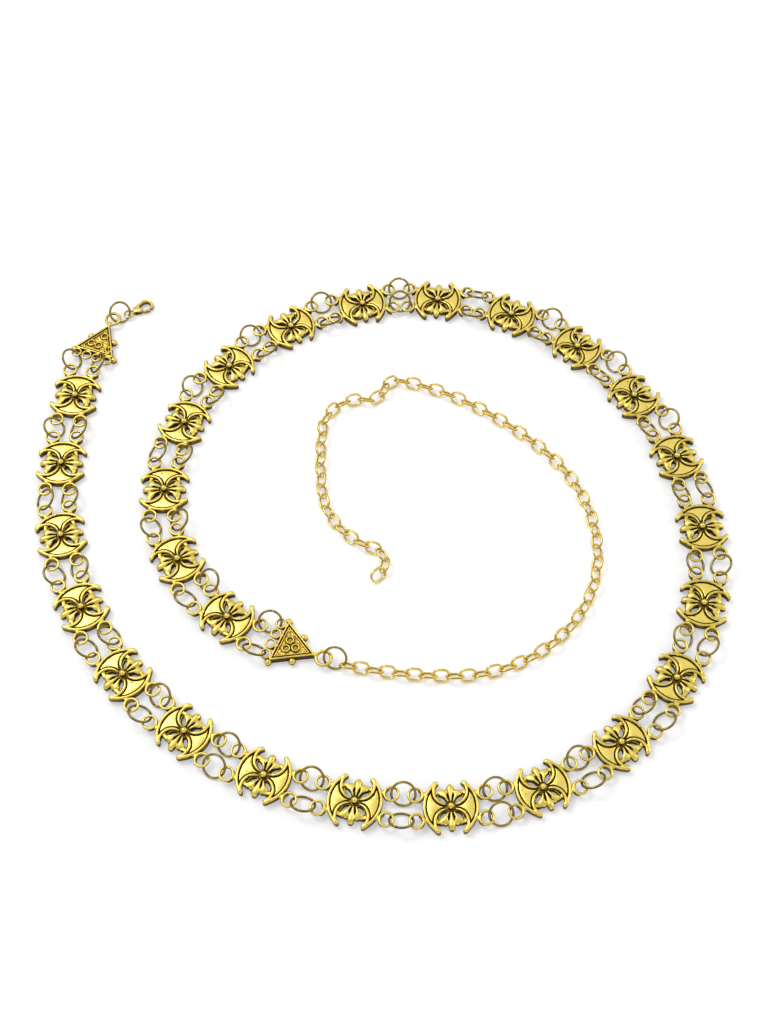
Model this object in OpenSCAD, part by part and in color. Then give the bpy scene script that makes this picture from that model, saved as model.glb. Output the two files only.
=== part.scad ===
// Waist chain: cast plaques side by side on pairs of jump rings, a triangular plate at each end,
// a lobster clasp on the first plate and a free extension chain on the second.
// It lies on a surface in one loose spiral turn. The plaques' backs are at Z = 0, X is the long side,
// and the origin is under the middle of the whole chain.

/* [Belt] */
// Number of plaques in the belt
plaque_count = 26; // [2:1:26]
// Height of the middle of every cast loop above the surface
loop_z = 2.9; // [2.8:0.05:3.2]
// Heading of the first plaque
start_heading = -96; // [-180:1:180]

/* [Plaque] */
// Length of a plaque along the chain, from crest to crest, without its loops
plaque_l = 19.6; // [18.5:0.1:20.5]
// Width of a plaque from tip to tip
plaque_w = 18.4; // [17.5:0.1:19]
// Distance along the chain between the two tips of one side
tip_gap = 10; // [9:0.1:11]
// Thickness of the plaque at its raised rims
plaque_t = 3.4; // [3.2:0.05:4]
// Depth of the sunk fields below the rims
field_depth = 0.7; // [0.3:0.05:1.2]
// Width of the raised rim along each outer arc
rim_w = 1.1; // [0.7:0.05:1.6]
// Width of the curved arms that run from the bead to the tips
arm_w = 1.2; // [0.8:0.05:1.5]
// Middle radius of an arm's curve
arm_r = 4.7; // [4.4:0.05:4.9]
// How far an arm's curve is centred from the chain's middle line
arm_y = 5.5; // [5.3:0.05:5.7]
// Diameter of the centre bead
bead_d = 2.8; // [2:0.1:3.4]
// Height of the bead's top above the rims
bead_rise = 1.6; // [0.8:0.1:2]
// Reach of the long middle petals from the plaque's middle
petal_reach = 8.2; // [7.5:0.1:8.8]
// Diameter of a middle petal at its round end
petal_d = 2.4; // [1.8:0.1:2.8]
// Reach of the short petals beside it
side_petal_reach = 6.7; // [6:0.1:7]
// Diameter of a short petal at its round end
side_petal_d = 2.2; // [1.6:0.1:2.4]
// Angle of the short petals off the middle one
side_petal_turn = 27; // [24:1:30]
// Length of each pierced almond hole
almond_l = 4; // [3:0.1:4.2]
// Width of each pierced almond hole
almond_w = 1.5; // [1:0.1:1.7]

/* [Cast loops] */
// Clear hole of a plaque's loop
loop_hole = 3.9; // [3.8:0.05:4.2]
// Thickness of a loop's round wire
loop_wire = 1; // [0.8:0.05:1.1]
// Distance between the middles of a plaque's two loops at one end
loop_span = 9.4; // [9:0.1:9.8]
// Gap between a loop and the plaque's outer arc
loop_neck = 0.4; // [0.2:0.05:0.8]

/* [Jump rings] */
// Outer diameter of the jump rings between plaques
ring_od = 9.3; // [9:0.1:9.6]
// Wire thickness of the jump rings
ring_wire = 0.9; // [0.7:0.05:0.95]
// Lean off the surface of the jump rings between plaques
ring_lean = 36; // [36:1:45]
// Lean off the surface of the rings at the end plates
end_ring_lean = 45; // [42:1:48]
// How much shorter than the ring the plain spacing of two facing holes is
ring_slack = 0.3; // [0.1:0.05:0.6]
// Outer diameter of the rings at the clasp and at the extension chain
end_ring_od = 9.2; // [9:0.1:9.4]

/* [End plates] */
// Side length of the triangular plates
plate_side = 17.6; // [16.5:0.1:19]
// Width of the plate's raised border
border_w = 1; // [0.6:0.05:1.4]
// Depth of the plate's field below its border
plate_depth = 0.8; // [0.4:0.05:1.2]
// Diameter of the balls at the corners and at the middle of the sides
ball_d = 2.9; // [2.2:0.1:3.2]
// Number of small rings along the plate's base
base_rings = 4; // [4:1:4]
// Spacing of the small rings
base_pitch = 4.4; // [4.3:0.05:4.5]
// Clear hole of a small ring
base_hole = 2.7; // [2.6:0.05:2.8]
// Thickness of a small ring's wire
base_wire = 0.8; // [0.7:0.05:0.9]
// Clear hole of the ring at the plate's tip
tip_hole = 4.4; // [4.2:0.1:4.8]
// Thickness of that ring's wire
tip_wire = 1.2; // [1:0.05:1.3]
// Outer diameter of the small ring ornaments on the field
ornament_d = 3.4; // [3:0.1:3.6]
// Diameter of the grains on the field
grain_d = 0.9; // [0.6:0.05:1]

/* [Clasp] */
// Length of the clasp from its eye's middle to the nose
clasp_l = 11.2; // [10.8:0.1:12]
// Width of the clasp's hook
hook_w = 6.6; // [6.4:0.1:7]
// Thickness of the clasp
clasp_t = 2.6; // [2.4:0.1:3]
// Width of the metal round the hook's hole
hook_wall = 1.3; // [1.1:0.05:1.4]
// Clear hole of the clasp's eye
eye_hole = 2.8; // [2.7:0.05:2.9]
// Thickness of the eye's wire
eye_wire = 0.8; // [0.75:0.05:0.85]
// Thickness of the lever
lever_t = 1.1; // [0.9:0.05:1.3]
// Clearance round the lever
lever_play = 0.15; // [0.1:0.05:0.2]
// Diameter of the lever's pin
pin_d = 0.8; // [0.6:0.05:0.9]

/* [Extension chain] */
// Outer length of a link
link_l = 7.1; // [6.9:0.05:7.4]
// Outer width of a link
link_w = 5.35; // [5.2:0.05:5.6]
// Wire thickness of a link
link_wire = 0.95; // [0.85:0.05:1]
// Play between two links along the chain
link_play = 0.32; // [0.3:0.01:0.4]
// Roll of the links off the surface, each the other way round from the last
link_roll = 45; // [42:1:48]

/* [Hidden] */
$fn = 48;
// Overlap of solids that are cast or soldered into one
bite = 0.3;
// Thickness of a soldered neck for each unit of its loop's wire
neck_share = 0.8;
// Air left between a leaning ring and the surface
surface_gap = 0.1;

// The belt as it lies: gaps in the run, bend at each gap in degrees, spacing over the plain pitch
RUN_COUNT = 0;
RUN_BEND = 1;
RUN_PULL = 2;
belt_runs = [
    [1, 6, -0.2],
    [4, 13.5, 0.4],
    [3, 13, 1.1],
    [5, 18.5, 0.5],
    [3, 14.5, 0.3],
    [5, 18, -0.9],
    [2, 21, -0.7],
    [2, 26, -0.5],
];
// The extension chain as it lies: links in the run, bend at each link in degrees
extension_runs = [
    [9, 1.5],
    [9, 5],
    [8, 5.5],
    [10, 4.5],
    [9, 2],
    [5, 3],
    [2, 44],
    [2, -41],
    [5, 18.5],
    [6, 2],
    [6, 9],
    [1, 7],
    [3, -38.5],
];
// Links of the extension chain that belong to its near half
near_links = 38;

// Which way each jump ring leans, gap by gap: 1 leans to the left of the chain's run, -1 to the right
outer_leans = [
    -1, -1, 1, -1, -1, -1, 1, -1, -1, 1, -1, -1, -1, -1,
    1, -1, -1, -1, 1, -1, -1, -1, -1, 1, -1, -1, -1,
];
inner_leans = [1, 1, 1, 1, -1, 1, 1, 1, 1, 1, 1, -1, 1, 1, 1, 1, 1, 1, 1, -1, 1, 1, 1, 1, 1, 1, 1];

// How each end plate hangs on the belt: sideways shift, turn, and the two small rings that are used
HANG_SHIFT = 0;
HANG_TURN = 1;
HANG_LEFT = 2;
HANG_RIGHT = 3;
clasp_plate_hang = [-2.9, -13.5, 0, 2];
chain_plate_hang = [3.9, 14, 0, 3];
// Spacing along the chain from a plaque's loops to a plate's small rings
plate_spacing = 7.3;
// Bearing of the clasp's eye and heading of the clasp, both from the plate's axis
clasp_bearing = -41;
clasp_turn = -38;
// Bearing and heading of the extension chain from the plate's axis
extension_bearing = 5;
extension_turn = 11;
// How far a ring may slip back from the middle of the hole it hangs in
ring_back = 0.6;
end_ring_back = 0.2;
// Share of a ring's slip that the wider of two unlike holes takes
wide_hole_share = 0.8;
// How far an end ring hangs short of its full width
end_ring_slack = 1.4;

// Plaque
crest_sag = (plaque_l - tip_gap) / 2;
crest_r = (plaque_w * plaque_w / 4 + crest_sag * crest_sag) / (2 * crest_sag);
crest_x = plaque_l / 2 - crest_r;
field_t = plaque_t - field_depth;
arm_x = arm_r * 0.23;
arm_inner_r = arm_r - arm_w / 2;
arm_outer_r = arm_r + arm_w / 2;
tip_r = 0.75;
tip_cut = plaque_w / 2 - tip_r;
notch_y = 5.2;
petal_root_r = 0.45;
petal_root_y = 1;
petal_tuck = 0.97;
petal_inset = 0.15;
petal_t = field_t + field_depth * 0.45;
petal_dome_h = 0.5;
almond_r = (almond_l * almond_l + almond_w * almond_w) / (4 * almond_w);
almond_reach = 4.1;
almond_turn = 46;
collar_r = bead_d / 2 + 0.6;

// Cast loops and the places where rings hang
loop_r = (loop_hole + loop_wire) / 2;
loop_y = loop_span / 2;
crest_at_loop = crest_x + sqrt(crest_r * crest_r - loop_y * loop_y);
loop_x = crest_at_loop + loop_neck + loop_r + loop_wire / 2;
ring_r = (ring_od - ring_wire) / 2;
end_ring_r = (end_ring_od - ring_wire) / 2;
belt_pitch = 2 * loop_x + 2 * ring_r - ring_slack;

// End plates, in a frame on the middle of the base edge with the tip along +X
plate_h = plate_side * sqrt(3) / 2;
plate_field_t = plaque_t - plate_depth;
base_r = (base_hole + base_wire) / 2;
base_x = -(base_r + base_wire / 2) + bite / 2;
tip_ring_r = (tip_hole + tip_wire) / 2;
tip_x = plate_h + tip_ring_r + tip_wire / 2 - bite;
ball_z = ball_d / 2 + 0.15;

// Clasp, in a frame on the middle of its eye with the nose along +X
hook_r = hook_w / 2;
hook_x = clasp_l - hook_r;
eye_r = (eye_hole + eye_wire) / 2;
eye_z = clasp_t * 0.68;
shank_r = 1.5;
shank_x = eye_r + shank_r;
pivot_x = shank_x + 0.5;
pivot_y = -0.35;
lever_r = 0.65;
lever_nose_x = hook_x + 0.3;
lever_nose_y = -(hook_r - hook_wall / 2);
gate_end_x = lever_nose_x + lever_r + lever_play;

// Extension chain
link_end_r = (link_w - link_wire) / 2;
link_straight = link_l - link_w;
link_pitch = link_l - 2 * link_wire - link_play;
link_z = link_end_r * sin(link_roll) + link_wire / 2;
end_reach = 2 * end_ring_r - end_ring_slack;

// A pose is [x, y, heading]; a place inside it is given along and across that heading
function along(pose, x, y) = [
    pose[0] + x * cos(pose[2]) - y * sin(pose[2]),
    pose[1] + x * sin(pose[2]) + y * cos(pose[2]),
];
function pose_in(pose, x, y, turn) = concat(along(pose, x, y), [pose[2] + turn]);
function reversed(pose) = [pose[0], pose[1], pose[2] + 180];
function raised(place, z) = [place[0], place[1], z];

// Every gap of the belt in turn, then the pose of every plaque from the first one on
gaps = [for (run = belt_runs) for (i = [1:run[RUN_COUNT]]) run];
function next_plaque(pose, gap) = let (
    half_turned = [pose[0], pose[1], pose[2] + gap[RUN_BEND] / 2]
) concat(along(half_turned, belt_pitch + gap[RUN_PULL], 0), [pose[2] + gap[RUN_BEND]]);
last_gap = plaque_count - 2;
free_poses = [
    for (
        i = 0, pose = [0, 0, start_heading];
        i <= last_gap + 1;
        pose = next_plaque(pose, gaps[min(i, last_gap)]), i = i + 1
    )
        pose
];

// The tips of all plaques bound the chain, so their middle is the origin
tips = [
    for (pose = free_poses) for (x = [-tip_gap / 2, tip_gap / 2]) for (y = [-plaque_w / 2, plaque_w / 2])
        along(pose, x, y)
];
tip_xs = [for (tip = tips) tip[0]];
tip_ys = [for (tip = tips) tip[1]];
middle = [(min(tip_xs) + max(tip_xs)) / 2, (min(tip_ys) + max(tip_ys)) / 2];
poses = [for (pose = free_poses) [pose[0] - middle[0], pose[1] - middle[1], pose[2]]];
first_pose = reversed(poses[0]);
last_pose = poses[plaque_count - 1];

// Poses of the end plates, the clasp and the extension chain
plate_x = loop_x + plate_spacing - base_x;
clasp_plate_pose = pose_in(first_pose, plate_x, clasp_plate_hang[HANG_SHIFT], clasp_plate_hang[HANG_TURN]);
chain_plate_pose = pose_in(last_pose, plate_x, chain_plate_hang[HANG_SHIFT], chain_plate_hang[HANG_TURN]);
clasp_pose = pose_in(
    clasp_plate_pose,
    tip_x + end_reach * cos(clasp_bearing),
    end_reach * sin(clasp_bearing),
    clasp_turn
);
extension_pose = pose_in(
    chain_plate_pose,
    tip_x + end_reach * cos(extension_bearing),
    end_reach * sin(extension_bearing),
    extension_turn
);

// The bend before each link, then the pose of every link's near end
bends = [for (run = extension_runs) for (i = [1:run[RUN_COUNT]]) run[RUN_BEND]];
link_count = len(bends);
function next_link(pose, bend) = concat(along(pose, link_pitch, 0), [pose[2] + bend]);
link_poses = [
    for (
        i = 0, pose = extension_pose;
        i < link_count;
        pose = next_link(pose, bends[min(i + 1, link_count - 1)]), i = i + 1
    )
        pose
];

function two_digits(n) = n < 10 ? str("0", n) : str(n);
plaque_names = [for (i = [1:plaque_count]) str("plaque_", two_digits(i))];

// Shared shapes

module at(pose) {
    translate([pose[0], pose[1], 0]) rotate(pose[2]) children();
}

module torus(r, wire) {
    rotate_extrude() translate([r, 0]) circle(d = wire);
}

// A disc at each end of a line and the straight sides between them, which touch both when tuck is 1
module tapered_bar(x1, r1, x2, r2, tuck = 1) {
    lean = (r1 - r2) / (x2 - x1);
    side = sqrt(1 - lean * lean) * tuck;
    translate([x1, 0]) circle(r1);
    translate([x2, 0]) circle(r2);
    polygon([
        [x1 + r1 * lean, -r1 * side], [x2 + r2 * lean, -r2 * side],
        [x2 + r2 * lean, r2 * side], [x1 + r1 * lean, r1 * side],
    ]);
}

// A jump ring through the holes at a and b, which leans off the surface and hangs as low as it can
module hung_ring(a, b, r, lean_side, lean = ring_lean, back = ring_back, share = 0.5) {
    span = norm(b - a);
    slope = atan2(b[2] - a[2], norm([b[0] - a[0], b[1] - a[1]]));
    climb = sin(lean) * cos(slope);
    low_z = (a[2] + b[2]) / 2 - r * sqrt(climb * climb + sin(slope) * sin(slope));
    lift = max(0, (ring_wire / 2 + surface_gap - low_z) / climb);
    half = min(span / 2 + back, sqrt(r * r - lift * lift));
    slip = span - 2 * half;
    roll = lean_side > 0 ? lean : 180 - lean;
    translate((a + b) / 2)
        rotate([roll, -slope, atan2(b[1] - a[1], b[0] - a[0])])
            translate([(share - 0.5) * slip, sqrt(r * r - half * half), 0])
                torus(r, ring_wire);
}

// Plaques

module crest_disc(r) {
    translate([crest_x, 0]) circle(r);
}

// The open space between two tips, above the short petals
module notch() {
    intersection() {
        union() {
            translate([arm_x, arm_y]) circle(arm_inner_r);
            translate([-arm_x, arm_y]) circle(arm_inner_r);
            translate([-arm_x, notch_y]) square([2 * arm_x, plaque_w]);
        }
        translate([-plaque_w / 2, notch_y]) square(plaque_w);
    }
}

module blades_outline() {
    difference() {
        intersection() {
            crest_disc(crest_r);
            mirror([1, 0]) crest_disc(crest_r);
            translate([-plaque_l / 2, -tip_cut]) square([plaque_l, 2 * tip_cut]);
        }
        notch();
        mirror([0, 1]) notch();
    }
}

module tip_discs() {
    inner_x = arm_x + sqrt(arm_inner_r * arm_inner_r - (tip_cut - arm_y) * (tip_cut - arm_y));
    outer_x = crest_x + sqrt(crest_r * crest_r - tip_cut * tip_cut);
    for (sx = [-1, 1]) for (sy = [-1, 1])
        translate([sx * (inner_x + outer_x) / 2, sy * tip_cut]) circle((outer_x - inner_x) / 2);
}

module petal_outline(reach, d, inset) {
    tapered_bar(petal_root_y, petal_root_r, reach - d / 2, d / 2 - inset, petal_tuck);
}

module petals_outline(inset = 0) {
    for (side = [-90, 90]) rotate(side) {
        petal_outline(petal_reach, petal_d, inset);
        for (turn = [-side_petal_turn, side_petal_turn])
            rotate(turn) petal_outline(side_petal_reach, side_petal_d, inset);
    }
}

module arm_outline() {
    intersection() {
        difference() {
            translate([arm_x, arm_y]) circle(arm_outer_r);
            translate([arm_x, arm_y]) circle(arm_inner_r);
        }
        crest_disc(crest_r);
        polygon([
            [collar_r / 3, 0], [collar_r / 3, arm_w * 1.5], [arm_x, arm_y],
            [arm_x * 2.2, tip_cut], [plaque_l, tip_cut], [plaque_l, 0],
        ]);
    }
}

module rim_outline() {
    intersection() {
        difference() {
            crest_disc(crest_r);
            crest_disc(crest_r - rim_w);
        }
        translate([tip_gap / 4, -tip_cut]) square([plaque_l, 2 * tip_cut]);
    }
}

module almond_outline() {
    offset_y = almond_r - almond_w / 2;
    intersection() {
        translate([0, offset_y]) circle(almond_r);
        translate([0, -offset_y]) circle(almond_r);
    }
}

// A low dome on the outer end of a petal
module petal_dome(reach, d) {
    foot_r = d / 2 - 2 * petal_inset;
    ball_r = (foot_r * foot_r + petal_dome_h * petal_dome_h) / (2 * petal_dome_h);
    translate([reach - d / 2, 0, petal_t + petal_dome_h - ball_r]) sphere(ball_r);
}

module petals_relief() {
    linear_extrude(petal_t) petals_outline(petal_inset);
    for (side = [-90, 90]) rotate(side) {
        petal_dome(petal_reach, petal_d);
        for (turn = [-side_petal_turn, side_petal_turn])
            rotate(turn) petal_dome(side_petal_reach, side_petal_d);
    }
}

module plaque_loop() {
    translate([loop_x, loop_y, loop_z]) torus(loop_r, loop_wire);
    translate([crest_at_loop - 2 * bite, loop_y, loop_z])
        rotate([0, 90, 0]) cylinder(d = loop_wire * neck_share, h = loop_neck + loop_wire / 2 + 2 * bite);
}

module plaque(pose) {
    color("goldenrod") at(pose) {
        difference() {
            union() {
                linear_extrude(field_t) {
                    blades_outline();
                    tip_discs();
                    petals_outline();
                }
                linear_extrude(plaque_t) {
                    tip_discs();
                    for (sx = [0, 1]) mirror([sx, 0]) {
                        rim_outline();
                        for (sy = [0, 1]) mirror([0, sy]) arm_outline();
                    }
                }
                petals_relief();
                cylinder(r = collar_r, h = plaque_t);
                translate([0, 0, plaque_t + bead_rise - bead_d / 2]) sphere(bead_d / 2);
            }
            for (sx = [0, 1]) for (sy = [0, 1]) mirror([sx, 0, 0]) mirror([0, sy, 0])
                rotate(almond_turn) translate([almond_reach, 0, -1])
                    linear_extrude(plaque_t * 3) almond_outline();
        }
        for (sx = [0, 1]) for (sy = [0, 1]) mirror([sx, 0, 0]) mirror([0, sy, 0]) plaque_loop();
    }
}

// Jump rings

function loop_place(pose, end, side) = raised(along(pose, end * loop_x, side * loop_y), loop_z);
function base_place(pose, index) =
    raised(along(pose, base_x, ((base_rings - 1) / 2 - index) * base_pitch), loop_z);

module jump_ring_row(side, leans, clasp_index, chain_index) {
    color("darkgoldenrod") {
        hung_ring(
            loop_place(poses[0], -1, side),
            base_place(clasp_plate_pose, clasp_index),
            ring_r,
            -leans[0],
            end_ring_lean,
            end_ring_back,
            wide_hole_share
        );
        for (i = [1:1:plaque_count - 1])
            hung_ring(loop_place(poses[i - 1], 1, side), loop_place(poses[i], -1, side), ring_r, leans[i]);
        hung_ring(
            loop_place(last_pose, 1, side),
            base_place(chain_plate_pose, chain_index),
            ring_r,
            leans[plaque_count],
            end_ring_lean,
            end_ring_back,
            wide_hole_share
        );
    }
}

module outer_jump_rings() {
    jump_ring_row(-1, outer_leans, clasp_plate_hang[HANG_LEFT], chain_plate_hang[HANG_RIGHT]);
}

module inner_jump_rings() {
    jump_ring_row(1, inner_leans, clasp_plate_hang[HANG_RIGHT], chain_plate_hang[HANG_LEFT]);
}

// End plates

module triangle_outline(inset) {
    low = inset;
    half = plate_side / 2 - inset * sqrt(3);
    high = plate_h - 2 * inset;
    polygon([[low, -half], [low, half], [high, 0]]);
}

module plate_balls() {
    side_out = ball_d / 4;
    for (side = [-1, 1]) {
        translate([0, side * plate_side / 2, ball_z]) sphere(d = ball_d);
        translate([plate_h / 2 + side_out / 2, side * (plate_side / 4 + side_out), ball_z])
            sphere(d = ball_d);
    }
}

module plate_ornaments() {
    centre_x = plate_h / 3;
    spread = ornament_d * 0.63;
    for (turn = [60, 180, 300])
        translate([centre_x, 0, plate_field_t]) rotate(turn) translate([spread, 0, 0]) {
            torus(ornament_d / 2 - grain_d / 3, grain_d * 0.66);
            sphere(d = grain_d);
        }
    for (turn = [0, 120, 240]) for (step = [1, 2])
        translate([centre_x, 0, plate_field_t])
            rotate(turn) translate([ornament_d * (0.75 + 0.36 * step), 0, 0]) sphere(d = grain_d);
}

module end_plate(pose) {
    color("gold") at(pose) {
        linear_extrude(plate_field_t) triangle_outline(0);
        linear_extrude(plaque_t) difference() {
            triangle_outline(0);
            triangle_outline(border_w);
        }
        plate_balls();
        plate_ornaments();
        for (i = [0:base_rings - 1]) {
            y = ((base_rings - 1) / 2 - i) * base_pitch;
            translate([base_x, y, loop_z]) torus(base_r, base_wire);
            translate([-bite * 2, y, loop_z])
                rotate([0, 90, 0]) cylinder(d = base_wire * neck_share, h = bite * 4);
        }
        translate([tip_x, 0, loop_z]) torus(tip_ring_r, tip_wire);
        translate([plate_h - 4 * bite, 0, loop_z])
            rotate([0, 90, 0]) cylinder(d = tip_wire * neck_share, h = bite * 4);
    }
}

// Clasp

module clasp_outline() {
    difference() {
        tapered_bar(shank_x, shank_r, hook_x, hook_r);
        tapered_bar(shank_x + shank_r + hook_wall, 0.6, hook_x, hook_r - hook_wall);
        polygon([
            [pivot_x + 1.4, 0], [hook_x, 0], [gate_end_x, lever_nose_y + lever_r],
            [gate_end_x, -hook_w], [pivot_x + 1.4, -hook_w],
        ]);
    }
}

module clasp_body() {
    color("gold") at(clasp_pose) {
        difference() {
            linear_extrude(clasp_t) clasp_outline();
            translate([pivot_x - lever_r - 2 * lever_play, -hook_w, (clasp_t - lever_t) / 2 - lever_play])
                cube([clasp_l, hook_w + pivot_y + lever_r + 2 * lever_play, lever_t + 2 * lever_play]);
        }
        translate([pivot_x, pivot_y, bite]) cylinder(d = pin_d, h = clasp_t - 2 * bite);
        translate([0, 0, eye_z]) torus(eye_r, eye_wire);
    }
}

module clasp_lever() {
    nose = [lever_nose_x - pivot_x, lever_nose_y - pivot_y];
    color("goldenrod") at(clasp_pose)
        translate([pivot_x, pivot_y, (clasp_t - lever_t) / 2]) difference() {
            linear_extrude(lever_t)
                rotate(atan2(nose[1], nose[0])) tapered_bar(0, lever_r, norm(nose), lever_r * 0.8);
            translate([0, 0, -1]) cylinder(d = pin_d + 0.1, h = lever_t + 2);
        }
}

module clasp_ring() {
    color("darkgoldenrod") hung_ring(
        raised(along(clasp_plate_pose, tip_x, 0), loop_z),
        raised(along(clasp_pose, eye_wire / 2, 0), eye_z),
        end_ring_r,
        1,
        end_ring_lean,
        end_ring_back,
        wide_hole_share
    );
}

// Extension chain

module extension_ring() {
    color("darkgoldenrod") hung_ring(
        raised(along(chain_plate_pose, tip_x, 0), loop_z),
        raised(along(extension_pose, link_wire, 0), link_z),
        end_ring_r,
        1,
        end_ring_lean,
        end_ring_back,
        wide_hole_share
    );
}

module link() {
    for (end = [0, 180]) rotate(end) translate([link_straight / 2, 0, 0]) {
        rotate(-90) rotate_extrude(angle = 180) translate([link_end_r, 0]) circle(d = link_wire);
        translate([0, link_end_r, 0]) rotate([0, -90, 0]) cylinder(d = link_wire, h = link_straight);
    }
}

module extension_links(from, to) {
    color("gold") for (i = [from:to])
        at(link_poses[i]) translate([link_pitch / 2, 0, link_z])
            rotate([i % 2 == 0 ? -link_roll : link_roll, 0, 0]) link();
}

module extension_chain_near() {
    extension_links(0, near_links - 1);
}

module extension_chain_far() {
    extension_links(near_links, link_count - 1);
}

for (i = [0:plaque_count - 1])
    plaque(poses[i]);
end_plate(clasp_plate_pose);  // clasp_end_plate
end_plate(chain_plate_pose);  // chain_end_plate
outer_jump_rings();
inner_jump_rings();
clasp_ring();
extension_ring();
clasp_body();
clasp_lever();
extension_chain_near();
extension_chain_far();
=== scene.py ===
"""Waist chain: pierced winged plaques, paired jump rings, end plates, lever clasp and extension."""

import logging
import math
from dataclasses import dataclass, field
from enum import Enum
from typing import Iterable, Sequence

import bmesh
import bpy
import numpy as np
from mathutils import Matrix, Vector
from mathutils.bvhtree import BVHTree


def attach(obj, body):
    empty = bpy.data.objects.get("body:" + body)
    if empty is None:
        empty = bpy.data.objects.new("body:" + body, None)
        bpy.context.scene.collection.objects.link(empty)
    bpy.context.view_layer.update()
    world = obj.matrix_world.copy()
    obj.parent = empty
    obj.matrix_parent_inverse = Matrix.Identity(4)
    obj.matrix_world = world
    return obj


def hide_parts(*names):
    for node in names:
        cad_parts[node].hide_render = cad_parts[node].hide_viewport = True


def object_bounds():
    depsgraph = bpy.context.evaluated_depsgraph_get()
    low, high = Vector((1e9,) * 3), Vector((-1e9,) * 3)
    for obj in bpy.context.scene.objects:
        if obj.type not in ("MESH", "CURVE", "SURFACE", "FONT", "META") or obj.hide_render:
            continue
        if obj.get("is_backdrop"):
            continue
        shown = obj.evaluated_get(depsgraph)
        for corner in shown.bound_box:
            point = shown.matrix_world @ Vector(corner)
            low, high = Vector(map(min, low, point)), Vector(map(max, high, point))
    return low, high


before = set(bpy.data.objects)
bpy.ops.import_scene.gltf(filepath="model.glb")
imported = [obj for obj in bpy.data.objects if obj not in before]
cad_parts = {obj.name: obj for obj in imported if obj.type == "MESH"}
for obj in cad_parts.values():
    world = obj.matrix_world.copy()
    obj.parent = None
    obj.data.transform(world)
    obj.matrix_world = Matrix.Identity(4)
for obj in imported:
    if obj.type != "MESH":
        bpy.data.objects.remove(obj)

MM = 0.001
FOOT = 0.12
RING_STEPS = 44
LOG = logging.getLogger("waist_chain")
UP = Vector((0.0, 0.0, 1.0))
AHEAD = Vector((1.0, 0.0, 0.0))


class Body(Enum):
    """The rigid bodies that the pieces ride on."""

    CHAIN = "chain"
    LEVER = "lever"


class Slot(Enum):
    """The material slots."""

    PLAQUE = "plaque_gold"
    PLATE = "plate_gold"
    RING = "ring_gold"
    CLASP = "clasp_gold"
    LINK = "link_gold"


# Shader maths


class Flow:
    """A shader socket that Python's operators can reckon with."""

    def __init__(self, tree: bpy.types.NodeTree, socket: bpy.types.NodeSocket) -> None:
        """Wraps a socket of a node tree."""
        self.tree = tree
        self.socket = socket

    def _math(self, operation: str, *values: "Flow | float") -> "Flow":
        """One Math node.

        Args:
            operation: The node's operation.
            values: What its sockets hold.

        Returns:
            The node's result.
        """
        return Shader(self.tree).node("ShaderNodeMath", {"operation": operation}, dict(enumerate(values)))

    def __add__(self, other: "Flow | float") -> "Flow":
        """self + other."""
        return self._math("ADD", self, other)

    __radd__ = __add__

    def __sub__(self, other: "Flow | float") -> "Flow":
        """self - other."""
        return self._math("SUBTRACT", self, other)

    def __rsub__(self, other: float) -> "Flow":
        """other - self."""
        return self._math("SUBTRACT", other, self)

    def __mul__(self, other: "Flow | float") -> "Flow":
        """self * other."""
        return self._math("MULTIPLY", self, other)

    __rmul__ = __mul__

    def clamped(self) -> "Flow":
        """The value kept between 0 and 1."""
        return self._math("MINIMUM", self._math("MAXIMUM", self, 0.0), 1.0)

    def ramp(self, low: float, high: float) -> "Flow":
        """0 at low, 1 at high and straight between."""
        return ((self - low) * (1.0 / (high - low))).clamped()


class Shader:
    """Adds nodes to one material's tree."""

    def __init__(self, tree: bpy.types.NodeTree) -> None:
        """Keeps the tree that nodes are added to."""
        self.tree = tree

    def node(self, kind: str, settings: dict, inputs: dict, output: int | str = 0) -> Flow:
        """Adds any node.

        Args:
            kind: The node's type.
            settings: Attributes that are set first.
            inputs: Values or flows, by the sockets' names or numbers.
            output: The output that is handed back.

        Returns:
            The chosen output.
        """
        new = self.tree.nodes.new(kind)
        for name, value in settings.items():
            setattr(new, name, value)
        for name, value in inputs.items():
            if isinstance(value, Flow):
                self.tree.links.new(value.socket, new.inputs[name])
            else:
                new.inputs[name].default_value = value
        return Flow(self.tree, new.outputs[output])

    def mix(self, share: Flow, first: "Flow | tuple", second: "Flow | tuple") -> Flow:
        """Colour that runs from first to second as share goes from 0 to 1."""
        ends = [end if isinstance(end, Flow) else (*end, 1.0) for end in (first, second)]
        return self.node("ShaderNodeMix", {"data_type": "RGBA"}, {0: share, 6: ends[0], 7: ends[1]}, 2)


PATINA_AND_WALL_SHADE = "patina_and_wall_shade"
WEAR_AND_SHEEN = "wear_and_sheen"

# Noises: how many cells a metre holds, and the detail
CLOUD_NOISE = (420.0, 4.0)
FINE_NOISE = (2600.0, 3.0)
PIT_NOISE = (1150.0, 2.0)
BUMP_DEPTH = 0.06 * MM
# How far each noise and the wear with its painted highlight shift the reading that the patina and the painted
# wall shade follow
CLOUD_SHIFT, FINE_SHIFT, WEAR_SHIFT = 0.22, 0.16, 0.3
# How pits read, how the polish varies, and how much less metallic the dark patina and painted shade are
PIT_BAND = (0.63, 0.72)
FINE_ROUGH, OLIVE_ROUGH, DARK_ROUGH, DARK_DULLING = 0.12, 0.1, 0.22, 0.45


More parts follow.
